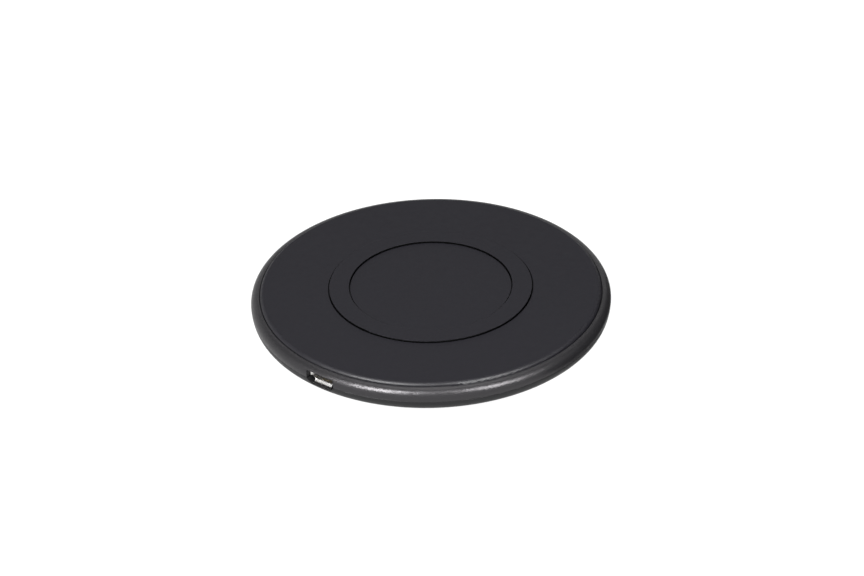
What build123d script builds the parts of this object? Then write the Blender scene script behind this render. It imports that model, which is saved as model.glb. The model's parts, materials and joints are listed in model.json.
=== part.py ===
"""Round wireless charging pad: housing, charging coil, control board and micro-USB inlet.

Frame: millimetres, +Z up, origin on the surface that the feet stand on, at the centre
of the disc. The micro-USB inlet faces -Y and the indicator light faces +Y.
"""

import os
from math import asin, degrees, sqrt

from build123d import *

# ---- Housing ----
CASE_RADIUS = 50.0          # at the widest point of the rim
FOOT_PROUD = 0.8            # feet below the underside
CASE_HEIGHT = 7.5           # underside to charging surface
UNDERSIDE_Z = FOOT_PROUD
SURFACE_Z = UNDERSIDE_Z + CASE_HEIGHT
WIDEST_Z = SURFACE_Z - 2.95
SEAM_Z = SURFACE_Z - 3.95   # joint between rim housing and bottom cover
FLOOR_Z = UNDERSIDE_Z + 1.0
LIP_Z = SURFACE_Z - 0.7     # top of the rim, just under the charging surface
SHOULDER_RADIUS = LIP_Z - WIDEST_Z
BELLY_RADIUS = 8.0
HEEL_RADIUS = 3.2
EDGE_ROUND = 0.15
SEAM_ROUND = 0.2

# ---- Top cover, its tape and the grip ring ----
COVER_RADIUS = 47.45
COVER_THICKNESS = 1.6
COVER_EDGE_ROUND = 1.0      # broad roll-off round the charging surface
COVER_GAP = 0.1
COVER_BOTTOM_Z = SURFACE_Z - COVER_THICKNESS
TAPE_THICKNESS = 0.15
TAPE_INSET = 0.2            # from the cover's edge
TAPE_OVERLAP = 0.3          # from the ledge's inner edge
GRIP_INNER_RADIUS = 22.6
GRIP_OUTER_RADIUS = 28.25
GRIP_PROUD = 0.4
GRIP_SEAT_DEPTH = 0.5
GRIP_SEAT_GAP = 0.25
GRIP_ROUND = 0.18
RIB_CLEARANCE = 0.2         # between the ferrite and the rib that centres it
RIB_THICKNESS = 0.8
RIB_GAP = 0.25              # between the rib and the ferrite's top face
GATE_WIDTH = 2.4            # gap in the rib that the outer lead passes
GATE_LENGTH = 7.0

# ---- Rim housing and bottom cover, inside ----
LEDGE_TOP_Z = COVER_BOTTOM_Z - TAPE_THICKNESS
LEDGE_THICKNESS = 1.0
LEDGE_BOTTOM_Z = LEDGE_TOP_Z - LEDGE_THICKNESS
LEDGE_INNER_RADIUS = 45.2
RIM_BORE_RADIUS = COVER_RADIUS + COVER_GAP
SKIRT_BORE_RADIUS = 48.3
TONGUE_OUTER_RADIUS = 48.2
TONGUE_INNER_RADIUS = 47.3
TONGUE_TOP_Z = LEDGE_BOTTOM_Z - 0.25
FLOOR_CORNER = 1.0

# ---- Screws and feet ----
SCREW_CIRCLE = 41.0
SCREW_ANGLES = (45, 135, 225, 315)
SCREW_RADIUS = 1.0
SCREW_LENGTH = 2.9
SCREW_HEAD_RADIUS = 1.8
SCREW_HEAD_HEIGHT = 0.8
SCREW_SEAT_Z = 2.1
BOSS_RADIUS = 3.2
BOSS_TOP_Z = SCREW_SEAT_Z + 0.8
POST_RADIUS = 2.2
POST_SHIFT = 1.0            # the post's bracket runs this far into the ledge
THREAD_CLEARANCE = 0.02
SHANK_CLEARANCE = 0.15
FOOT_RADIUS = 4.8
FOOT_SEAT_DEPTH = 0.4
FOOT_ROUND = 0.4
SEAT_CLEARANCE = 0.1        # round a foot or a screw head
LABEL_RADIUS = 22.0
LABEL_THICKNESS = 0.1

# ---- Micro-USB inlet ----
PORT_WIDTH = 7.6
PORT_HEIGHT = 2.5
PORT_CORNER = 0.85          # lower corners are cut at 45 degrees
PORT_SHEET = 0.3
PORT_FRONT = 47.9           # distance of the shell's front edge from the centre
PORT_LENGTH = 5.0
FLARE_LENGTH = 0.6
FLARE_RISE = 0.45
OPENING_MARGIN = 0.65       # opening in the wall, all round the shell
OPENING_DEPTH = 48.0        # back of the opening, from the centre
SHELL_CLEARANCE = 0.2       # round the shell where it passes through the wall

# ---- Control board ----
BOARD_TOP_Z = 3.4           # the inlet's shell stands on the board
BOARD_THICKNESS = 0.8
BOARD_BOTTOM_Z = BOARD_TOP_Z - BOARD_THICKNESS
BOARD_RADIUS = 46.2
PEG_RADIUS = 1.0
PEG_CIRCLE = 43.0
PEG_ANGLES = (0, 180)
PEG_PROUD = 0.5             # above the board
REST_RADIUS = 1.5
PAD_ANGLES = (20, 70, 110, 160, 200, 250, 290, 340)
PAD_CIRCLE = 35.0

# ---- Inlet's contacts and tongue ----
CONTACT_PITCH = 0.65
CONTACT_WIDTH = 0.3
CONTACT_SHEET = 0.1
TONGUE_Z = BOARD_TOP_Z + 1.45
TONGUE_WIDTH = 3.8
TONGUE_THICKNESS = 0.6
BLOCK_LENGTH = 1.1

# ---- Coil stack ----
CARRIER_RADIUS = 26.0
CARRIER_THICKNESS = 0.6
CARRIER_GROOVE_OUTER = 23.0 # glue groove in the carrier's underside
CARRIER_GROOVE_INNER = 20.0
CARRIER_GROOVE_DEPTH = 0.2
FERRITE_RADIUS = 25.0
FERRITE_THICKNESS = 0.9
COIL_TAPE_RADIUS = 22.5
WIRE_RADIUS = 0.5
COIL_PITCH = 1.1
COIL_TURNS = 10
COIL_INNER_RADIUS = 10.5
CENTRE_HOLE_RADIUS = 2.0
LEAD_SLOT_WIDTH = 1.4
LEAD_OFFSET = 7.0           # the slot runs parallel to Y, this far from the centre
LEAD_ENTRY = 4.5            # where the inner lead enters the slot
LEAD_BEND = 0.9
OUTER_LEAD_CROSSING = 13.5  # where the outer lead starts down past the ferrite
FERRITE_BOTTOM_Z = BOARD_TOP_Z + CARRIER_THICKNESS
FERRITE_TOP_Z = FERRITE_BOTTOM_Z + FERRITE_THICKNESS
COIL_BOTTOM_Z = FERRITE_TOP_Z + TAPE_THICKNESS
COIL_Z = COIL_BOTTOM_Z + WIRE_RADIUS
COIL_OUTER_RADIUS = COIL_INNER_RADIUS + COIL_PITCH * COIL_TURNS

# ---- Indicator ----
LIGHT_Z = 4.5
LIGHT_RADIUS = 0.6
LIGHT_HOLE_RADIUS = 0.65
LED_CIRCLE = 44.6
LED_HEIGHT = 0.7
LED_SPACING = 2.2
GUIDE_WIDTH = 4.4
GUIDE_DEPTH = 1.6
GUIDE_GAP = 0.1             # between the LEDs and the guide

BELOW = (Align.CENTER, Align.CENTER, Align.MAX)
ABOVE = (Align.CENTER, Align.CENTER, Align.MIN)


def disc(radius, low, high):
    """Upright cylinder between two heights."""
    return Pos(0, 0, low) * Cylinder(radius, high - low, align=ABOVE)


def ring(outer, inner, low, high):
    """Flat ring between two heights."""
    return disc(outer, low, high) - disc(inner, low, high)


def turned(outline):
    """Solid turned about Z from a closed outline drawn as (radius, height)."""
    return revolve(Plane.XZ * make_face(outline), Axis.Z)


def around(shape, radius, angles):
    """One copy of a shape at each angle, on a circle about Z."""
    return [Rot(0, 0, angle) * Pos(radius, 0, 0) * shape for angle in angles]


def on_board(shape, radius, angles):
    """Copies of a component standing on the board, turned to face the centre."""
    return around(Pos(0, 0, BOARD_TOP_Z) * shape, radius, angles)


def group(shapes):
    """Separate solids kept together as one node."""
    return Compound(children=[solid for shape in shapes for solid in shape.solids()])


def belly_radius_at(height):
    """Radius of the rim's belly, the gentle arc below its widest point."""
    return CASE_RADIUS - BELLY_RADIUS + sqrt(BELLY_RADIUS**2 - (height - WIDEST_Z) ** 2)


def rim_radius_at(height):
    """Outer radius of the rim at a height, on the belly or on the shoulder above it."""
    if height <= WIDEST_Z:
        return belly_radius_at(height)
    centre = CASE_RADIUS - SHOULDER_RADIUS
    return centre + sqrt(SHOULDER_RADIUS**2 - (height - WIDEST_Z) ** 2)


def port_outline(margin):
    """Micro-USB outline grown by a margin: wide side up, lower corners cut."""
    half = PORT_WIDTH / 2 + margin
    slide = margin * (sqrt(2) - 1)
    flat = PORT_WIDTH / 2 - PORT_CORNER + slide
    low = BOARD_TOP_Z - margin
    knee = BOARD_TOP_Z + PORT_CORNER - slide
    top = BOARD_TOP_Z + PORT_HEIGHT + margin
    corners = [(-flat, low), (flat, low), (half, knee), (half, top), (-half, top), (-half, knee)]
    return make_face(Polyline(*corners, close=True))


def port_prism(margin, near, far):
    """Micro-USB outline run through from one distance to another along -Y."""
    return extrude(Plane.XZ.offset(near) * port_outline(margin), far - near)


# ---- Housing pieces ----


def grip_seat():
    """Shallow ring-shaped seat for the grip ring in the charging surface."""
    outer = GRIP_OUTER_RADIUS + GRIP_SEAT_GAP
    inner = GRIP_INNER_RADIUS - GRIP_SEAT_GAP
    return ring(outer, inner, SURFACE_Z - GRIP_SEAT_DEPTH, SURFACE_Z)


def make_top_cover():
    """Flat disc with a rounded edge, a seat for the grip ring and a rib round the ferrite."""
    plate = disc(COVER_RADIUS, COVER_BOTTOM_Z, SURFACE_Z)
    plate = fillet(plate.edges().group_by(Axis.Z)[-1], COVER_EDGE_ROUND)
    rib_inner = FERRITE_RADIUS + RIB_CLEARANCE
    rib_low = FERRITE_TOP_Z + RIB_GAP
    rib = ring(rib_inner + RIB_THICKNESS, rib_inner, rib_low, COVER_BOTTOM_Z)
    gate = Box(GATE_WIDTH, GATE_LENGTH, COVER_BOTTOM_Z - rib_low, align=BELOW)
    gate = Pos(COIL_OUTER_RADIUS, OUTER_LEAD_CROSSING, COVER_BOTTOM_Z) * gate
    return plate - grip_seat() + (rib - gate)


def make_grip_ring():
    """Soft ring that stands proud of the charging surface and stops a phone sliding."""
    top = SURFACE_Z + GRIP_PROUD
    shape = ring(GRIP_OUTER_RADIUS, GRIP_INNER_RADIUS, SURFACE_Z - GRIP_SEAT_DEPTH, top)
    return fillet(shape.edges().group_by(Axis.Z)[-1], GRIP_ROUND)


def make_cover_tape():
    """Double-sided tape that holds the top cover on the ledge of the rim housing."""
    outer = COVER_RADIUS - TAPE_INSET
    return ring(outer, LEDGE_INNER_RADIUS + TAPE_OVERLAP, LEDGE_TOP_Z, COVER_BOTTOM_Z)


def rim_outline():
    """Section of the rim: shoulder, belly, skirt, and the ledge under the top cover."""
    shoulder_centre = CASE_RADIUS - SHOULDER_RADIUS
    belly_drop = degrees(asin((WIDEST_Z - SEAM_Z) / BELLY_RADIUS))
    seam_radius = belly_radius_at(SEAM_Z)
    round_centre = (RIM_BORE_RADIUS + EDGE_ROUND, LIP_Z - EDGE_ROUND)
    inside = [
        (seam_radius, SEAM_Z),
        (SKIRT_BORE_RADIUS, SEAM_Z),
        (SKIRT_BORE_RADIUS, LEDGE_BOTTOM_Z),
        (LEDGE_INNER_RADIUS, LEDGE_BOTTOM_Z),
        (LEDGE_INNER_RADIUS, LEDGE_TOP_Z),
        (RIM_BORE_RADIUS, LEDGE_TOP_Z),
        (RIM_BORE_RADIUS, LIP_Z - EDGE_ROUND),
    ]
    return [
        CenterArc((shoulder_centre, WIDEST_Z), SHOULDER_RADIUS, 0, 90),
        CenterArc((CASE_RADIUS - BELLY_RADIUS, WIDEST_Z), BELLY_RADIUS, -belly_drop, belly_drop),
        Polyline(*inside),
        CenterArc(round_centre, EDGE_ROUND, 90, 90),
        Line((RIM_BORE_RADIUS + EDGE_ROUND, LIP_Z), (shoulder_centre, LIP_Z)),
    ]


def screw_post():
    """Hollow post under the ledge that a housing screw bites into, with its bracket."""
    post = Pos(SCREW_CIRCLE, 0, 0) * disc(POST_RADIUS, BOSS_TOP_Z, LEDGE_BOTTOM_Z)
    reach = LEDGE_INNER_RADIUS + POST_SHIFT - SCREW_CIRCLE
    arm = Pos(SCREW_CIRCLE, 0, LEDGE_BOTTOM_Z) * (
        disc(POST_RADIUS, 0, LEDGE_THICKNESS)
        + Box(reach, 2 * POST_RADIUS, LEDGE_THICKNESS, align=(Align.MIN, Align.CENTER, Align.MIN))
    )
    pilot = disc(SCREW_RADIUS + THREAD_CLEARANCE, BOSS_TOP_Z, LEDGE_BOTTOM_Z + 0.4)
    pilot = Pos(SCREW_CIRCLE, 0, 0) * pilot
    return post + arm - pilot


def light_bore():
    """Hole through the rim for the indicator's light guide."""
    rod = Cylinder(LIGHT_HOLE_RADIUS, CASE_RADIUS, align=ABOVE)
    return Pos(0, TONGUE_INNER_RADIUS - 3, LIGHT_Z) * Rot(-90, 0, 0) * rod


def make_rim_housing():
    """Metallic-finish rim with the ledge, four screw posts and the inlet's opening."""
    rim = turned(rim_outline())
    for post in around(screw_post(), 0, SCREW_ANGLES):
        rim += post
    rim -= port_prism(OPENING_MARGIN, OPENING_DEPTH, CASE_RADIUS + 1)
    rim -= port_prism(SHELL_CLEARANCE, PORT_FRONT - PORT_LENGTH, OPENING_DEPTH + 0.5)
    return rim - light_bore()


def bottom_outline():
    """Section of the bottom cover: floor, heel, belly, joint and locating tongue."""
    heel_centre_z = UNDERSIDE_Z + HEEL_RADIUS
    sine = (WIDEST_Z - heel_centre_z) / (BELLY_RADIUS - HEEL_RADIUS)
    heel_angle = degrees(asin(sine))
    heel_centre = CASE_RADIUS - BELLY_RADIUS + (BELLY_RADIUS - HEEL_RADIUS) * sqrt(1 - sine**2)
    round_z = SEAM_Z - SEAM_ROUND
    round_angle = degrees(asin((WIDEST_Z - round_z) / BELLY_RADIUS))
    round_centre = (belly_radius_at(round_z) - SEAM_ROUND, round_z)
    inside = [
        (round_centre[0], SEAM_Z),
        (TONGUE_OUTER_RADIUS, SEAM_Z),
        (TONGUE_OUTER_RADIUS, TONGUE_TOP_Z),
        (TONGUE_INNER_RADIUS, TONGUE_TOP_Z),
        (TONGUE_INNER_RADIUS, FLOOR_Z + FLOOR_CORNER),
    ]
    corner = (TONGUE_INNER_RADIUS - FLOOR_CORNER, FLOOR_Z + FLOOR_CORNER)
    return [
        CenterArc((heel_centre, heel_centre_z), HEEL_RADIUS, -90, 90 - heel_angle),
        CenterArc(
            (CASE_RADIUS - BELLY_RADIUS, WIDEST_Z), BELLY_RADIUS, -heel_angle, heel_angle - round_angle
        ),
        CenterArc(round_centre, SEAM_ROUND, 0, 90),
        Polyline(*inside),
        CenterArc(corner, FLOOR_CORNER, -90, 90),
        Polyline((corner[0], FLOOR_Z), (0, FLOOR_Z), (0, UNDERSIDE_Z), (heel_centre, UNDERSIDE_Z)),
    ]


def make_bottom_cover():
    """Bottom shell with screw bosses, board rests, locating pegs and seats for the feet."""
    shell = turned(bottom_outline())
    for boss in around(disc(BOSS_RADIUS, FLOOR_Z, BOSS_TOP_Z), SCREW_CIRCLE, SCREW_ANGLES):
        shell += boss
    for rest in around(disc(REST_RADIUS, FLOOR_Z, BOARD_BOTTOM_Z), PAD_CIRCLE, PAD_ANGLES):
        shell += rest
    peg = disc(PEG_RADIUS, FLOOR_Z, BOARD_TOP_Z + PEG_PROUD)
    for pin in around(peg, PEG_CIRCLE, PEG_ANGLES):
        shell += pin
    foot_seat_z = UNDERSIDE_Z + FOOT_SEAT_DEPTH
    hollow = (
        disc(FOOT_RADIUS + SEAT_CLEARANCE, UNDERSIDE_Z, foot_seat_z)
        + disc(SCREW_HEAD_RADIUS + SEAT_CLEARANCE, foot_seat_z, SCREW_SEAT_Z)
        + disc(SCREW_RADIUS + SHANK_CLEARANCE, SCREW_SEAT_Z, BOSS_TOP_Z)
    )
    for seat in around(hollow, SCREW_CIRCLE, SCREW_ANGLES):
        shell -= seat
    shell -= port_prism(OPENING_MARGIN, TONGUE_INNER_RADIUS - 0.4, CASE_RADIUS + 1)
    return shell - light_bore()


def make_rubber_feet():
    """Four round feet pressed into the seats over the screws."""
    foot = disc(FOOT_RADIUS, 0, UNDERSIDE_Z + FOOT_SEAT_DEPTH)
    foot = fillet(foot.edges().group_by(Axis.Z)[0], FOOT_ROUND)
    return group(around(foot, SCREW_CIRCLE, SCREW_ANGLES))


def make_housing_screws():
    """Four pan-head screws with a cross recess, driven up from the underside."""
    head = disc(SCREW_HEAD_RADIUS, SCREW_SEAT_Z - SCREW_HEAD_HEIGHT, SCREW_SEAT_Z)
    head = fillet(head.edges().group_by(Axis.Z)[0], 0.3)
    tip_z = SCREW_SEAT_Z + SCREW_LENGTH
    shank = disc(SCREW_RADIUS, SCREW_SEAT_Z, tip_z)
    shank = chamfer(shank.edges().group_by(Axis.Z)[-1], 0.5)
    slot = Pos(0, 0, SCREW_SEAT_Z - SCREW_HEAD_HEIGHT) * (
        Box(2.2, 0.45, 0.5, align=ABOVE) + Box(0.45, 2.2, 0.5, align=ABOVE)
    )
    return group(around(head + shank - slot, SCREW_CIRCLE, SCREW_ANGLES))


def make_rating_label():
    """Blank label on the underside."""
    return disc(LABEL_RADIUS, UNDERSIDE_Z - LABEL_THICKNESS, UNDERSIDE_Z)


# ---- Micro-USB inlet ----


def flap(root, tip):
    """Flared lip of the shell: a sheet from the front edge out to a shifted, narrower tip.

    root and tip are (x, z, width, height) of the sheet's two end faces.
    """
    ends = []
    for distance, (x, z, width, height) in ((PORT_FRONT, root), (PORT_FRONT + FLARE_LENGTH, tip)):
        ends.append(Plane.XZ.offset(distance) * Pos(x, z) * Rectangle(width, height))
    return loft(ends, ruled=True)


def shell_leg():
    """Side leg of the shell, bent out flat onto the board."""
    upright = Box(0.3, 1.2, PORT_HEIGHT - 0.9, align=(Align.MIN, Align.CENTER, Align.MIN))
    toe = Box(1.3, 1.2, 0.3, align=(Align.MIN, Align.CENTER, Align.MIN))
    return Pos(PORT_WIDTH / 2 - 0.05, 0, BOARD_TOP_Z) * (upright + toe)


def make_usb_shell():
    """Stamped steel shell of the inlet, with flared lips and four soldered legs."""
    back = PORT_FRONT - PORT_LENGTH
    shell = port_prism(0, back, PORT_FRONT) - port_prism(-PORT_SHEET, back, PORT_FRONT)
    half = PORT_SHEET / 2
    flat = PORT_WIDTH - 2 * PORT_CORNER
    low, high = BOARD_TOP_Z + half, BOARD_TOP_Z + PORT_HEIGHT - half
    side_height = PORT_HEIGHT - PORT_CORNER
    side_z = BOARD_TOP_Z + PORT_CORNER + side_height / 2
    shell += flap((0, low, flat, PORT_SHEET), (0, low - FLARE_RISE, flat - 0.5, PORT_SHEET))
    shell += flap(
        (0, high, PORT_WIDTH - 0.6, PORT_SHEET), (0, high + FLARE_RISE, PORT_WIDTH - 1.1, PORT_SHEET)
    )
    for side in (-1, 1):
        x = side * (PORT_WIDTH / 2 - half)
        shell += flap(
            (x, side_z, PORT_SHEET, side_height - 0.3),
            (x + side * FLARE_RISE, side_z, PORT_SHEET, side_height - 0.7),
        )
        for depth in (back + 0.9, PORT_FRONT - 1.6):
            leg = shell_leg() if side > 0 else mirror(shell_leg(), about=Plane.YZ)
            shell += Pos(0, -depth, 0) * leg
    return shell


def make_usb_contacts():
    """Five gold-plated contacts: under the tongue, out of the back, down to the board."""
    back = -(PORT_FRONT - PORT_LENGTH)
    path = Polyline(
        (-PORT_FRONT + 0.9, TONGUE_Z - CONTACT_SHEET / 2),
        (back + 0.3, TONGUE_Z - CONTACT_SHEET / 2),
        (back + 0.3, BOARD_TOP_Z + CONTACT_SHEET / 2),
        (back + 1.0, BOARD_TOP_Z + CONTACT_SHEET / 2),
    )
    strip = offset(path, CONTACT_SHEET / 2, side=Side.BOTH, kind=Kind.INTERSECTION)
    blade = extrude(Plane.YZ * make_face(strip), CONTACT_WIDTH / 2, both=True)
    return group([Pos(CONTACT_PITCH * step, 0, 0) * blade for step in range(-2, 3)])


def make_usb_insulator(contacts):
    """Moulded insert of the inlet: the block that closes its back, and the tongue."""
    back = PORT_FRONT - PORT_LENGTH
    block = port_prism(-PORT_SHEET - 0.02, back, back + BLOCK_LENGTH)
    tongue_length = PORT_LENGTH - FLARE_LENGTH - BLOCK_LENGTH
    tongue = Pos(0, -back - BLOCK_LENGTH, TONGUE_Z) * Box(
        TONGUE_WIDTH, tongue_length, TONGUE_THICKNESS, align=(Align.CENTER, Align.MAX, Align.MIN)
    )
    insert = block + tongue
    for blade in contacts.solids():
        insert -= blade
    return insert


# ---- Control board and coil stack ----


def make_main_board():
    """Round glass-fibre board with clearance for the bosses and holes for the pegs."""
    board = disc(BOARD_RADIUS, BOARD_BOTTOM_Z, BOARD_TOP_Z)
    for hole in around(disc(BOSS_RADIUS + 0.4, 0, SURFACE_Z), SCREW_CIRCLE, SCREW_ANGLES):
        board -= hole
    for hole in around(disc(PEG_RADIUS + 0.05, 0, SURFACE_Z), PEG_CIRCLE, PEG_ANGLES):
        board -= hole
    return board


def lead_slot(low, high):
    """Straight slot that carries the inner end of the winding out under the turns."""
    length = CARRIER_RADIUS - LEAD_ENTRY
    blank = Box(LEAD_SLOT_WIDTH, length, high - low, align=(Align.CENTER, Align.MAX, Align.MIN))
    return Pos(LEAD_OFFSET, -LEAD_ENTRY, low) * blank


def make_coil_carrier():
    """Moulded disc that spaces the ferrite off the board."""
    body = ring(CARRIER_RADIUS, CENTRE_HOLE_RADIUS, BOARD_TOP_Z, FERRITE_BOTTOM_Z)
    groove_top = BOARD_TOP_Z + CARRIER_GROOVE_DEPTH
    return body - ring(CARRIER_GROOVE_OUTER, CARRIER_GROOVE_INNER, BOARD_TOP_Z, groove_top)


def make_ferrite_disc():
    """Magnetic shield under the coil, slotted for the inner end of the winding."""
    body = ring(FERRITE_RADIUS, CENTRE_HOLE_RADIUS, FERRITE_BOTTOM_Z, FERRITE_TOP_Z)
    return body - lead_slot(FERRITE_BOTTOM_Z, FERRITE_TOP_Z)


def make_coil_tape():
    """Adhesive sheet that holds the winding on the ferrite."""
    body = ring(COIL_TAPE_RADIUS, CENTRE_HOLE_RADIUS, FERRITE_TOP_Z, COIL_BOTTOM_Z)
    return body - lead_slot(FERRITE_TOP_Z, COIL_BOTTOM_Z)


def wire_along(path):
    """Round wire run along a path."""
    return sweep(Plane(origin=path @ 0, z_dir=path % 0) * Circle(WIRE_RADIUS), path=path)


def make_charging_coil():
    """Flat spiral winding of half turns, each half a pitch larger than the one before."""
    arcs = []
    for half_turn in range(2 * COIL_TURNS):
        upper = half_turn % 2 == 0
        centre = 0.0 if upper else COIL_PITCH / 2
        start = 0 if upper else 180
        radius = COIL_INNER_RADIUS + half_turn * COIL_PITCH / 2
        arcs.append(CenterArc((centre, 0, COIL_Z), radius, start, 180))
    return wire_along(Wire(arcs))


def make_coil_leads():
    """Both ends of the winding: the inner one dips through the slot, the outer one crosses."""
    slot_z = FERRITE_BOTTOM_Z + WIRE_RADIUS + 0.02
    pad_z = BOARD_TOP_Z + WIRE_RADIUS
    inner = FilletPolyline(
        (COIL_INNER_RADIUS, 0, COIL_Z),
        (COIL_INNER_RADIUS, -1.2, COIL_Z),
        (LEAD_OFFSET, -LEAD_ENTRY, COIL_Z),
        (LEAD_OFFSET, -LEAD_ENTRY - 2.6, slot_z),
        (LEAD_OFFSET, -CARRIER_RADIUS - 1, slot_z),
        (LEAD_OFFSET, -CARRIER_RADIUS - 3, pad_z),
        (LEAD_OFFSET, -CARRIER_RADIUS - 5, pad_z),
        radius=LEAD_BEND,
    )
    outer = FilletPolyline(
        (COIL_OUTER_RADIUS, 0, COIL_Z),
        (COIL_OUTER_RADIUS, OUTER_LEAD_CROSSING, COIL_Z),
        (COIL_OUTER_RADIUS, OUTER_LEAD_CROSSING + 3, pad_z),
        (COIL_OUTER_RADIUS, OUTER_LEAD_CROSSING + 5, pad_z),
        radius=LEAD_BEND,
    )
    return group([wire_along(inner), wire_along(outer)])


def make_thermistor():
    """Glass-bead temperature sensor at the middle of the coil, on two stiff legs."""
    bead_z = COIL_BOTTOM_Z + 0.6
    bead = Pos(0, 0, bead_z) * Sphere(0.9)
    for side in (-1, 1):
        bead += Pos(0.5 * side, 0, 0) * disc(0.2, BOARD_TOP_Z, bead_z)
    return bead


# ---- Components on the board ----


def ceramic_chip(length, width, height, cap):
    """Two-terminal chip: a ceramic body between slightly larger metal ends."""
    body = Box(length - 2 * cap, width - 0.08, height - 0.04, align=ABOVE)
    for side in (-1, 1):
        end = Box(cap, width, height, align=ABOVE)
        body += Pos(side * (length - cap) / 2, 0, 0) * fillet(end.edges().filter_by(Axis.X), 0.06)
    return body


def moulded_package(length, width, height):
    """Black moulded body with bevelled top edges and a pin-one dimple."""
    body = Box(length, width, height, align=ABOVE)
    body = chamfer(body.faces().sort_by(Axis.Z)[-1].edges(), 0.12)
    dimple = Pos(-length / 2 + 0.8, -width / 2 + 0.8, height) * Cylinder(0.3, 0.15)
    return body - dimple


def gull_lead(reach, drop, width):
    """Bent lead of a leaded package: out of the body, down, and flat on the board."""
    sheet = 0.15
    path = Polyline((-0.2, drop), (reach / 2, drop), (reach / 2, sheet / 2), (reach, sheet / 2))
    strip = make_face(offset(path, sheet / 2, side=Side.BOTH, kind=Kind.INTERSECTION))
    return extrude(Plane.XZ * strip, width / 2, both=True)


def leaded_package(length, width, height, pins, pitch):
    """Moulded package on gull-wing leads down both long sides."""
    lift = 0.1
    package = Pos(0, 0, lift) * moulded_package(length, width, height)
    lead = gull_lead(1.0, height / 2, 0.4)
    for pin in range(pins):
        y = (pin - (pins - 1) / 2) * pitch
        package += Pos(length / 2, y, 0) * lead
        package += Pos(-length / 2, y, 0) * Rot(0, 0, 180) * lead
    return package


def make_controller_chip():
    """Charging controller: a square flat package with leads on all four sides."""
    side, height, pins, pitch = 7.0, 1.0, 10, 0.6
    package = Pos(0, 0, 0.1) * moulded_package(side, side, height)
    lead = gull_lead(0.9, height / 2, 0.26)
    for turn in range(4):
        for pin in range(pins):
            y = (pin - (pins - 1) / 2) * pitch
            package += Rot(0, 0, 90 * turn) * Pos(side / 2, y, 0) * lead
    return group(on_board(package, 34.0, [340]))


def make_power_inductor():
    """Shielded inductor: ferrite block with a round winding window and two terminals."""
    block = fillet(Box(5, 5, 2.4, align=ABOVE).edges().filter_by(Axis.Z), 0.7)
    block = chamfer(block.faces().sort_by(Axis.Z)[-1].edges(), 0.2)
    block -= Pos(0, 0, 2.2) * (disc(2.0, 0, 1) - disc(1.2, 0, 1))
    return group(on_board(block, 35.5, [298]))


def make_crystal():
    """Clock crystal: ceramic base with a stepped metal lid."""
    base = Box(3.2, 2.5, 0.45, align=ABOVE)
    lid = Pos(0, 0, 0.45) * Box(2.8, 2.1, 0.3, align=ABOVE)
    return group(on_board(base + fillet(lid.edges().filter_by(Axis.Z), 0.3), 34.0, [356]))


def make_surge_diode():
    """Surge protection diode across the supply, on bent strip leads."""
    body = Pos(0, 0, 0.1) * moulded_package(4.2, 2.6, 2.0)
    lead = gull_lead(0.6, 1.0, 1.4)
    for turn in (0, 180):
        body += Rot(0, 0, turn) * Pos(2.1, 0, 0) * lead
    return group(on_board(body, 37.0, [278]))


def make_light_guide():
    """Clear guide over the indicator LEDs, with a rod that ends flush with the rim."""
    end = rim_radius_at(LIGHT_Z)
    block_low = BOARD_TOP_Z + LED_HEIGHT + GUIDE_GAP
    block = Pos(0, LED_CIRCLE, block_low) * Box(
        GUIDE_WIDTH, GUIDE_DEPTH, LIGHT_Z + LIGHT_RADIUS - block_low, align=ABOVE
    )
    rod = Pos(0, LED_CIRCLE, LIGHT_Z) * Rot(-90, 0, 0) * Cylinder(
        LIGHT_RADIUS, end - LED_CIRCLE, align=ABOVE
    )
    return block + rod


def make_status_leds():
    """Two indicator LEDs side by side under the light guide."""
    base = Box(1.6, 0.8, 0.3, align=ABOVE)
    lens = Pos(0, 0, 0.3) * Box(1.1, 0.8, LED_HEIGHT - 0.3, align=ABOVE)
    led = Pos(0, LED_CIRCLE, BOARD_TOP_Z) * (base + lens)
    return group([Pos(x, 0, 0) * led for x in (-LED_SPACING / 2, LED_SPACING / 2)])


def chip_row(size, radius, angles):
    """Row of equal two-terminal chips on an arc of the board."""
    return group(on_board(ceramic_chip(*size), radius, angles))


def make_parts():
    """Every node of the pad, by name."""
    contacts = make_usb_contacts()
    return {
        "top_cover": make_top_cover(),
        "grip_ring": make_grip_ring(),
        "cover_tape": make_cover_tape(),
        "rim_housing": make_rim_housing(),
        "bottom_cover": make_bottom_cover(),
        "rubber_feet": make_rubber_feet(),
        "housing_screws": make_housing_screws(),
        "rating_label": make_rating_label(),
        "usb_shell": make_usb_shell(),
        "usb_insulator": make_usb_insulator(contacts),
        "usb_contacts": contacts,
        "main_board": make_main_board(),
        "coil_carrier": make_coil_carrier(),
        "ferrite_disc": make_ferrite_disc(),
        "coil_tape": make_coil_tape(),
        "charging_coil": make_charging_coil(),
        "coil_leads": make_coil_leads(),
        "thermistor": make_thermistor(),
        "controller_chip": make_controller_chip(),
        "power_transistors": group(
            on_board(leaded_package(4.0, 5.0, 1.2, 4, 1.27), 34.5, [10, 24, 66, 80])
        ),
        "resonant_capacitors": chip_row((4.5, 3.2, 1.6, 0.6), 34.0, [150, 160, 170, 180]),
        "smoothing_capacitors": chip_row((3.2, 2.5, 1.8, 0.5), 31.5, [238, 246, 254, 262]),
        "sense_resistor": chip_row((6.3, 3.2, 0.6, 0.6), 33.5, [205]),
        "chip_resistors": chip_row((1.6, 0.8, 0.45, 0.3), 31.0, range(92, 145, 6)),
        "chip_capacitors": chip_row((1.6, 0.8, 0.8, 0.3), 37.0, range(95, 126, 6)),
        "input_fuse": chip_row((4.5, 3.2, 0.8, 0.5), 37.0, [262]),
        "power_inductor": make_power_inductor(),
        "crystal": make_crystal(),
        "surge_diode": make_surge_diode(),
        "status_leds": make_status_leds(),
        "light_guide": make_light_guide(),
    }


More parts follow.
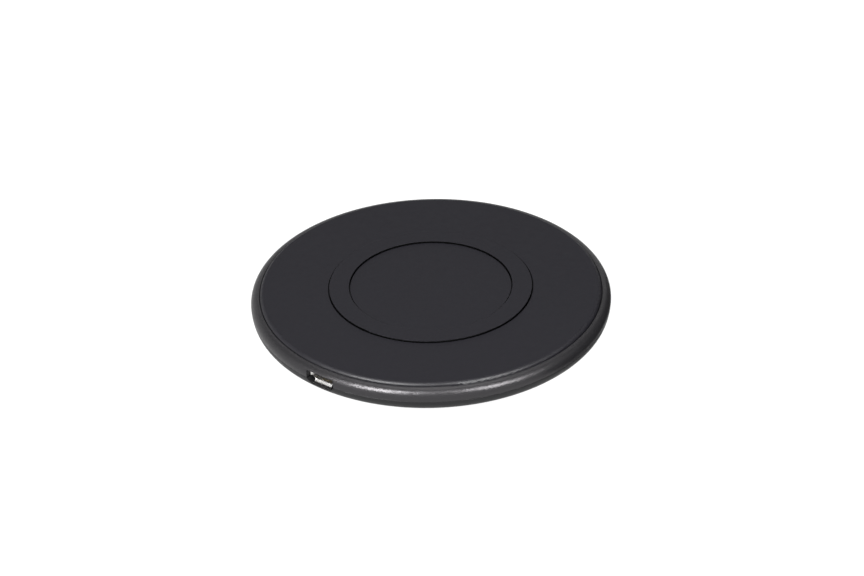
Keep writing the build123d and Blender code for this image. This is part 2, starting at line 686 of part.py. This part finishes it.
os.makedirs("parts", exist_ok=True)
for name, shape in make_parts().items():
    export_step(shape, f"parts/{name}.step")
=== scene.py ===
"""Looks of the round wireless charging pad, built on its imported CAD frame.

Metres, +Z up, origin under the centre of the disc. The micro-USB inlet faces -Y. Every
shape is a CAD node. This script gives each one its material, and sets up the floor, the
soft studio light and the camera.
"""

import json
from math import cos, pi, radians, sin

import bpy
from mathutils import Matrix, Vector


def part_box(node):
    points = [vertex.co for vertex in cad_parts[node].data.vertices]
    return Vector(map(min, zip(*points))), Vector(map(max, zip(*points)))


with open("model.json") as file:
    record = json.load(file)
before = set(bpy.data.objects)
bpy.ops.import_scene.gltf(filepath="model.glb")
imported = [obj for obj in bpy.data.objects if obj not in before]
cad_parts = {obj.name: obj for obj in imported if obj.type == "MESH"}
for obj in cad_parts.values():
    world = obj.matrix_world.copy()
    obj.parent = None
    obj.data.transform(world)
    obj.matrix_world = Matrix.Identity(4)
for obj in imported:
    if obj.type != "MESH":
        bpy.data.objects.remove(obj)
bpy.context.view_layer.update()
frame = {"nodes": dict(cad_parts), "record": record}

nodes = frame["nodes"]
MM = 0.001

# ---- Top cover, as the frame has it ----
COVER_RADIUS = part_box("top_cover")[1].x
COVER_EDGE_ROUND = 1.0 * MM

# ---- Camera; every azimuth here is counted from the inlet's side, -Y, towards +X ----
CAMERA_AZIMUTH = radians(36.95)
CAMERA_ELEVATION = radians(32.82)
CAMERA_DISTANCE = 0.6227
CAMERA_ROLL = radians(-1.534)
CAMERA_LENS = 93.5
AIM_HEIGHT = 8.4 * MM
AIM_RIGHT = 0.37 * MM
AIM_DOWN = 0.81 * MM

# ---- Gloss of the soft-touch cover and the grip ring ----
MATTE_SPECULAR = 0.22
EDGE_SPECULAR = 0.47             # on the cover's rounded edge

# ---- Studio ----
FLOOR_SIZE = 12.0
FLOOR_ALBEDO = 0.12
FLOOR_GLOW = 0.95
BACKDROP_RADIUS = 5.5
BACKDROP_HEIGHT = 6.0
BACKDROP_SEGMENTS = 96
BACKDROP_GLOW = 0.9
SOFTBOX_DISTANCE = 0.8
# Softboxes: azimuth, elevation, width and height in metres, radiance.
SOFTBOXES = {
    "left_key": (radians(0.95), radians(42), 0.2, 0.4, 42.0),
    "right_key": (radians(77), radians(42), 0.2, 0.4, 27.0),
    "overhead": (radians(217), radians(72), 0.5, 0.4, 2.2),
}
BELOW_RADIANCE = 0.8                # what glossy faces see in place of the floor
SIDE_RADIANCE = 0.6
CEILING_RADIANCE = 0.16
HORIZON_BLEND = 0.1                 # height, as a sine, over which below turns into side
DARK_SIDE_RADIANCE = 0.03
DARK_SIDE_AZIMUTH = radians(147)
DARK_SIDE_REACH = (radians(40), radians(52))    # where the dark panel starts and stops fading
CEILING_START = (radians(20), radians(38))      # elevations over which side turns into ceiling


def horizontal(azimuth):
    """Unit vector from the centre towards an azimuth counted from -Y towards +X."""
    return Vector((sin(azimuth), -cos(azimuth), 0.0))


# ---- Material building blocks ----


class Shader:
    """A new material around one Principled shader, with short calls for its nodes."""

    def __init__(self, name, roughness=0.5, metallic=0.0, specular=0.5):
        self.material = bpy.data.materials.new(name)
        self.material.use_nodes = True
        tree = self.material.node_tree
        self.nodes = tree.nodes
        self.links = tree.links
        self.bsdf = self.nodes["Principled BSDF"]
        self.bsdf.inputs["Roughness"].default_value = roughness
        self.bsdf.inputs["Metallic"].default_value = metallic
        self.bsdf.inputs["Specular IOR Level"].default_value = specular
        self.place = self.nodes.new("ShaderNodeTexCoord").outputs["Object"]

    def link(self, source, target):
        self.links.new(source, target)

    def noise(self, size, detail=3.0, place=None):
        """Noise with features of about a size, in metres, from 0 to 1."""
        node = self.nodes.new("ShaderNodeTexNoise")
        node.inputs["Scale"].default_value = 1.0 / size
        node.inputs["Detail"].default_value = detail
        self.link(place or self.place, node.inputs["Vector"])
        return node.outputs["Fac"]

    def cells(self, size):
        """Random colour of small cells of about a size, in metres."""
        node = self.nodes.new("ShaderNodeTexVoronoi")
        node.inputs["Scale"].default_value = 1.0 / size
        self.link(self.place, node.inputs["Vector"])
        return node.outputs["Color"]

    def spread(self, value, low, high, start=0.3, end=0.7):
        """A value remapped from start..end to low..high."""
        node = self.nodes.new("ShaderNodeMapRange")
        self.link(value, node.inputs["Value"])
        node.inputs["From Min"].default_value = start
        node.inputs["From Max"].default_value = end
        node.inputs["To Min"].default_value = low
        node.inputs["To Max"].default_value = high
        return node.outputs["Result"]

    def math(self, operation, first, second):
        node = self.nodes.new("ShaderNodeMath")
        node.operation = operation
        for socket, value in zip(node.inputs, (first, second)):
            if isinstance(value, (int, float)):
                socket.default_value = value
            else:
                self.link(value, socket)
        return node.outputs["Value"]

    def vector(self, operation, first, second=None):
        node = self.nodes.new("ShaderNodeVectorMath")
        node.operation = operation
        for socket, value in zip(node.inputs, (first, second)):
            if value is None:
                continue
            if isinstance(value, (tuple, Vector)):
                socket.default_value = value
            else:
                self.link(value, socket)
        return node.outputs["Value" if operation == "LENGTH" else "Vector"]

    def colour(self, factor, dark, light):
        """Colour that varies between two tones with a factor."""
        node = self.nodes.new("ShaderNodeMix")
        node.data_type = "RGBA"
        self.link(factor, node.inputs["Factor"])
        node.inputs["A"].default_value = (*dark, 1.0)
        node.inputs["B"].default_value = (*light, 1.0)
        self.link(node.outputs["Result"], self.bsdf.inputs["Base Color"])

    def tone(self, colour, variation, size):
        """Base colour with slow, slight changes of tone."""
        dark = tuple(c * (1 - variation) for c in colour)
        light = tuple(c * (1 + variation) for c in colour)
        self.colour(self.noise(size, 4.0), dark, light)

    def bump(self, height, distance, strength=1.0):
        """Bump from a height value; distance is its depth in metres."""
        node = self.nodes.new("ShaderNodeBump")
        node.inputs["Distance"].default_value = distance
        node.inputs["Strength"].default_value = strength
        self.link(height, node.inputs["Height"])
        self.link(node.outputs["Normal"], self.bsdf.inputs["Normal"])

    def radius(self):
        """Distance from the pad's axis, in metres."""
        flat = self.vector("MULTIPLY", self.place, (1.0, 1.0, 0.0))
        return self.vector("LENGTH", flat)


def grained(name, colour, roughness, grain, depth, variation=0.08, specular=0.5):
    """Moulded or cast surface: slow tone changes, uneven gloss and a fine grain."""
    shader = Shader(name, roughness, 0.0, specular)
    shader.tone(colour, variation, 12 * MM)
    uneven = shader.noise(2.5 * MM)
    gloss = shader.spread(uneven, roughness - 0.05, min(1.0, roughness + 0.05))
    shader.link(gloss, shader.bsdf.inputs["Roughness"])
    shader.bump(shader.noise(grain, 2.0), depth)
    return shader


def brushed(name, colour, roughness):
    """Rolled or plated metal with fine marks along X."""
    shader = Shader(name, roughness, 1.0)
    shader.tone(colour, 0.06, 2 * MM)
    marks = shader.vector("MULTIPLY", shader.place, (1.0, 12.0, 12.0))
    streaks = shader.noise(0.4 * MM, 3.0, marks)
    gloss = shader.spread(streaks, roughness * 0.7, roughness * 1.4)
    shader.link(gloss, shader.bsdf.inputs["Roughness"])
    shader.bump(streaks, 0.004 * MM, 0.5)
    return shader


def sparkle_normal(shader, size, tilt):
    """Normal tilted a little differently in each small cell, as metal flakes lie in paint."""
    centred = shader.vector("SUBTRACT", shader.cells(size), (0.5, 0.5, 0.5))
    lean = shader.vector("MULTIPLY", centred, (tilt, tilt, tilt))
    geometry = shader.nodes.new("ShaderNodeNewGeometry")
    leaned = shader.vector("ADD", geometry.outputs["Normal"], lean)
    return shader.vector("NORMALIZE", leaned)


# ---- The pad's own materials ----


def soft_touch():
    """Matte soft-touch black with a fine grain; the rounded edge is a little glossier."""
    shader = Shader("soft_touch_black", 0.55)
    shader.tone((0.0066, 0.0062, 0.0087), 0.04, 15 * MM)
    uneven = shader.spread(shader.noise(3 * MM), 0.5, 0.6)
    edge = shader.spread(shader.radius(), 0.0, 1.0, COVER_RADIUS - COVER_EDGE_ROUND, COVER_RADIUS)
    smoother = shader.math("MULTIPLY", edge, 0.15)
    shader.link(shader.math("SUBTRACT", uneven, smoother), shader.bsdf.inputs["Roughness"])
    gloss = shader.spread(edge, MATTE_SPECULAR, EDGE_SPECULAR, 0.0, 0.5)
    shader.link(gloss, shader.bsdf.inputs["Specular IOR Level"])
    shader.bump(shader.noise(0.16 * MM, 2.0), 0.006 * MM, 0.6)
    return shader.material


def silicone():
    """Matte silicone of the grip ring, with painted shade that makes its upright walls nearly black."""
    shader = Shader("grip_silicone", 0.6)
    facing = shader.nodes.new("ShaderNodeSeparateXYZ")
    geometry = shader.nodes.new("ShaderNodeNewGeometry")
    shader.link(geometry.outputs["Normal"], facing.inputs["Vector"])
    # Painted shade: faces that lean away from up, the ring's side walls, turn near-black and lose almost all
    # specular, standing in for the shade that falls on them.
    up_facing_unshaded = shader.spread(facing.outputs["Z"], 0.0, 1.0, 0.75, 0.98)
    mottled = shader.spread(shader.noise(12 * MM), 0.95, 1.05)
    lit = shader.math("MULTIPLY", up_facing_unshaded, mottled)
    # The dark tone here is the painted wall shade; the light tone is the silicone's own colour.
    shader.colour(lit, (0.0012, 0.0012, 0.0014), (0.0066, 0.0062, 0.0087))
    gloss = shader.spread(up_facing_unshaded, 0.02, MATTE_SPECULAR, 0.0, 1.0)
    shader.link(gloss, shader.bsdf.inputs["Specular IOR Level"])
    uneven = shader.spread(shader.noise(2.5 * MM), 0.55, 0.65)
    shader.link(uneven, shader.bsdf.inputs["Roughness"])
    shader.bump(shader.noise(0.12 * MM, 2.0), 0.005 * MM)
    return shader.material


def rim_paint():
    """Dark metallic paint: small flakes catch the light one by one in the highlights."""
    shader = Shader("rim_paint", 0.35, 0.0, 0.65)
    shader.bsdf.inputs["Specular Tint"].default_value = (1.0, 0.965, 1.0, 1.0)
    shader.tone((0.0085, 0.0083, 0.0092), 0.08, 8 * MM)
    gloss = shader.spread(shader.noise(0.5 * MM), 0.32, 0.39)
    shader.link(gloss, shader.bsdf.inputs["Roughness"])
    shader.link(sparkle_normal(shader, 0.22 * MM, 0.12), shader.bsdf.inputs["Normal"])
    return shader.material


def case_plastic():
    """Bottom cover: black plastic with a fine moulded texture and no flakes."""
    black = (0.008, 0.008, 0.0086)
    return grained("case_black", black, 0.42, 0.2 * MM, 0.008 * MM, 0.06, 0.3).material


def clear_guide():
    """Clear acrylic with a faint cool tint."""
    shader = Shader("guide_clear", 0.08)
    shader.tone((0.82, 0.88, 0.9), 0.03, 1 * MM)
    shader.bsdf.inputs["Transmission Weight"].default_value = 0.9
    shader.bsdf.inputs["IOR"].default_value = 1.49
    shader.bump(shader.noise(0.3 * MM), 0.002 * MM, 0.3)
    return shader.material


def stranded_copper():
    """Winding of fine enamelled strands, twisted round the wire."""
    shader = Shader("coil_copper", 0.32, 1.0)
    shader.tone((0.62, 0.27, 0.13), 0.12, 1.5 * MM)
    strands = shader.nodes.new("ShaderNodeTexWave")
    strands.bands_direction = "DIAGONAL"
    strands.inputs["Scale"].default_value = 900.0
    strands.inputs["Distortion"].default_value = 1.2
    shader.link(shader.place, strands.inputs["Vector"])
    shader.bump(strands.outputs["Fac"], 0.03 * MM)
    return shader.material


def circuit_board():
    """Green solder mask with shadowed traces."""
    shader = Shader("board_green", 0.35)
    traces = shader.nodes.new("ShaderNodeTexBrick")
    traces.inputs["Scale"].default_value = 260.0
    traces.inputs["Mortar Size"].default_value = 0.03
    shader.link(shader.place, traces.inputs["Vector"])
    shader.colour(traces.outputs["Fac"], (0.012, 0.11, 0.045), (0.02, 0.17, 0.07))
    gloss = shader.spread(shader.noise(1.5 * MM), 0.3, 0.42)
    shader.link(gloss, shader.bsdf.inputs["Roughness"])
    shader.bump(traces.outputs["Fac"], 0.02 * MM, 0.6)
    return shader.material


def finishes():
    """One material for each of the record's slots."""
    silver = (0.86, 0.85, 0.83)
    return {
        "soft_touch_black": soft_touch(),
        "grip_silicone": silicone(),
        "rim_paint": rim_paint(),
        "case_black": case_plastic(),
        "guide_clear": clear_guide(),
        "coil_copper": stranded_copper(),
        "board_green": circuit_board(),
        "adhesive_film": grained("adhesive_film", (0.7, 0.69, 0.64), 0.45, 0.3 * MM, 0.01 * MM).material,
        "foot_rubber": grained("foot_rubber", (0.014, 0.014, 0.0145), 0.7, 0.15 * MM, 0.012 * MM).material,
        "screw_steel": brushed("screw_steel", (0.2, 0.2, 0.21), 0.35).material,
        "label_film": grained("label_film", (0.36, 0.36, 0.37), 0.4, 0.25 * MM, 0.004 * MM).material,
        "shell_steel": brushed("shell_steel", (0.95, 0.94, 0.92), 0.32).material,
        "insulator_black": grained(
            "insulator_black", (0.02, 0.019, 0.018), 0.5, 0.1 * MM, 0.005 * MM
        ).material,
        "contact_gold": brushed("contact_gold", (0.83, 0.6, 0.25), 0.22).material,
        "carrier_plastic": grained("carrier_plastic", (0.6, 0.6, 0.57), 0.5, 0.2 * MM, 0.006 * MM).material,
        "ferrite": grained("ferrite", (0.045, 0.045, 0.048), 0.75, 0.12 * MM, 0.02 * MM, 0.15).material,
        "bead_glass": grained("bead_glass", (0.16, 0.05, 0.02), 0.12, 0.2 * MM, 0.004 * MM).material,
        "chip_black": grained("chip_black", (0.022, 0.022, 0.023), 0.55, 0.08 * MM, 0.006 * MM).material,
        "capacitor_ceramic": grained(
            "capacitor_ceramic", (0.33, 0.22, 0.13), 0.5, 0.1 * MM, 0.006 * MM, 0.15
        ).material,
        "resistor_black": grained("resistor_black", (0.02, 0.02, 0.023), 0.3, 0.1 * MM, 0.004 * MM).material,
        "fuse_ceramic": grained("fuse_ceramic", (0.7, 0.7, 0.66), 0.4, 0.1 * MM, 0.006 * MM).material,
        "inductor_ferrite": grained(
            "inductor_ferrite", (0.06, 0.06, 0.062), 0.7, 0.1 * MM, 0.015 * MM, 0.15
        ).material,
        "crystal_metal": brushed("crystal_metal", silver, 0.3).material,
        "led_lens": grained("led_lens", (0.75, 0.68, 0.4), 0.25, 0.2 * MM, 0.004 * MM).material,
    }


def dress_nodes():
    """Gives every CAD node the finish that the record's slot asks for."""
    made = finishes()
    for entry in frame["record"]["subparts"]:
        node = nodes[entry["node"]]
        node.data.materials.clear()
        node.data.materials.append(made[entry["material_slot"]])


# ---- Studio ----


def make_floor():
    """Plain pale floor."""
    half = FLOOR_SIZE / 2
    mesh = bpy.data.meshes.new("floor")
    corners = [(-half, -half, 0), (half, -half, 0), (half, half, 0), (-half, half, 0)]
    mesh.from_pydata(corners, [], [(0, 1, 2, 3)])
    floor = bpy.data.objects.new("floor", mesh)
    bpy.context.scene.collection.objects.link(floor)
    shader = Shader("pale_floor", 0.9, 0.0, 0.0)
    shader.bsdf.inputs["Base Color"].default_value = (FLOOR_ALBEDO, FLOOR_ALBEDO, FLOOR_ALBEDO, 1.0)
    shader.bsdf.inputs["Emission Color"].default_value = (1.0, 1.0, 1.0, 1.0)
    shader.bsdf.inputs["Emission Strength"].default_value = FLOOR_GLOW
    mesh.materials.append(shader.material)
    floor.visible_glossy = False


def make_backdrop():
    """Plain pale wall round the studio, which lights nothing and shows in no reflection."""
    mesh = bpy.data.meshes.new("backdrop")
    turns = [2 * pi * i / BACKDROP_SEGMENTS for i in range(BACKDROP_SEGMENTS)]
    circle = [(BACKDROP_RADIUS * cos(a), BACKDROP_RADIUS * sin(a)) for a in turns]
    low = [(x, y, 0.0) for x, y in circle]
    high = [(x, y, BACKDROP_HEIGHT) for x, y in circle]
    count = BACKDROP_SEGMENTS
    walls = [(i, (i + 1) % count, count + (i + 1) % count, count + i) for i in range(count)]
    mesh.from_pydata(low + high, [], walls)
    backdrop = bpy.data.objects.new("backdrop", mesh)
    bpy.context.scene.collection.objects.link(backdrop)
    shader = Shader("pale_backdrop", 0.9, 0.0, 0.0)
    shader.bsdf.inputs["Base Color"].default_value = (0.0, 0.0, 0.0, 1.0)
    shader.bsdf.inputs["Emission Color"].default_value = (1.0, 1.0, 1.0, 1.0)
    shader.bsdf.inputs["Emission Strength"].default_value = BACKDROP_GLOW
    mesh.materials.append(shader.material)
    backdrop.visible_diffuse = False
    backdrop.visible_glossy = False
    backdrop.visible_transmission = False
    backdrop.visible_shadow = False


def make_softbox(name, azimuth, elevation, width, height, radiance):
    """Softbox that points at the middle of the pad."""
    light = bpy.data.lights.new(name, "AREA")
    light.shape = "RECTANGLE"
    light.size = width
    light.size_y = height
    light.energy = radiance * pi * width * height
    softbox = bpy.data.objects.new(name, light)
    outward = horizontal(azimuth) * cos(elevation) + Vector((0, 0, sin(elevation)))
    softbox.location = outward * SOFTBOX_DISTANCE
    softbox.rotation_euler = outward.to_track_quat("Z", "Y").to_euler()
    bpy.context.scene.collection.objects.link(softbox)


def make_surroundings():
    """Even light from the sides and below, darker overhead, with a dark panel at the back on the right."""
    world = bpy.data.worlds.new("studio")
    bpy.context.scene.world = world
    world.use_nodes = True
    tree = world.node_tree
    background = tree.nodes["Background"]
    background.inputs["Color"].default_value = (1.0, 1.0, 1.0, 1.0)

    def add(kind, **inputs):
        node = tree.nodes.new(kind)
        for key, value in inputs.items():
            socket = node.inputs[key]
            if hasattr(value, "is_linked"):
                tree.links.new(value, socket)
            else:
                socket.default_value = value
        return node

    direction = add("ShaderNodeTexCoord").outputs["Generated"]
    height = add("ShaderNodeSeparateXYZ", Vector=direction).outputs["Z"]
    side = add("ShaderNodeVectorMath")
    side.operation = "DOT_PRODUCT"
    tree.links.new(direction, side.inputs[0])
    side.inputs[1].default_value = horizontal(DARK_SIDE_AZIMUTH)
    panel = add("ShaderNodeMapRange", Value=side.outputs["Value"])
    panel.interpolation_type = "SMOOTHSTEP"
    panel.inputs["From Min"].default_value = cos(DARK_SIDE_REACH[1])
    panel.inputs["From Max"].default_value = cos(DARK_SIDE_REACH[0])
    below = add("ShaderNodeMapRange", Value=height)
    below.inputs["From Min"].default_value = -HORIZON_BLEND
    below.inputs["From Max"].default_value = HORIZON_BLEND
    below.inputs["To Min"].default_value = BELOW_RADIANCE
    below.inputs["To Max"].default_value = SIDE_RADIANCE
    tree.links.new(below.outputs["Result"], panel.inputs["To Min"])
    panel.inputs["To Max"].default_value = DARK_SIDE_RADIANCE
    ceiling = add("ShaderNodeMapRange", Value=height)
    ceiling.interpolation_type = "SMOOTHSTEP"
    ceiling.inputs["From Min"].default_value = sin(CEILING_START[0])
    ceiling.inputs["From Max"].default_value = sin(CEILING_START[1])
    blend = add("ShaderNodeMix", Factor=ceiling.outputs["Result"])
    tree.links.new(panel.outputs["Result"], blend.inputs["A"])
    blend.inputs["B"].default_value = CEILING_RADIANCE
    tree.links.new(blend.outputs["Result"], background.inputs["Strength"])


def make_camera():
    """Camera at the viewing angle, with its small roll."""
    back = horizontal(CAMERA_AZIMUTH) * cos(CAMERA_ELEVATION) + Vector((0, 0, sin(CAMERA_ELEVATION)))
    level = Vector((0, 0, 1)).cross(back).normalized()
    upright = back.cross(level)
    right = level * cos(CAMERA_ROLL) + upright * sin(CAMERA_ROLL)
    up = back.cross(right)
    target = Vector((0, 0, AIM_HEIGHT))
    place = target + back * CAMERA_DISTANCE + right * AIM_RIGHT - up * AIM_DOWN
    camera = bpy.data.objects.new("camera", bpy.data.cameras.new("camera"))
    camera.data.lens = CAMERA_LENS
    camera.data.clip_start = 0.01
    camera.matrix_world = Matrix(
        ((right.x, up.x, back.x, place.x), (right.y, up.y, back.y, place.y),
         (right.z, up.z, back.z, place.z), (0, 0, 0, 1))
    )
    bpy.context.scene.collection.objects.link(camera)
    bpy.context.scene.camera = camera


dress_nodes()
make_floor()
make_backdrop()
for light_name, facts in SOFTBOXES.items():
    make_softbox(light_name, *facts)
make_surroundings()
make_camera()
bpy.context.scene.view_settings.view_transform = "Standard"
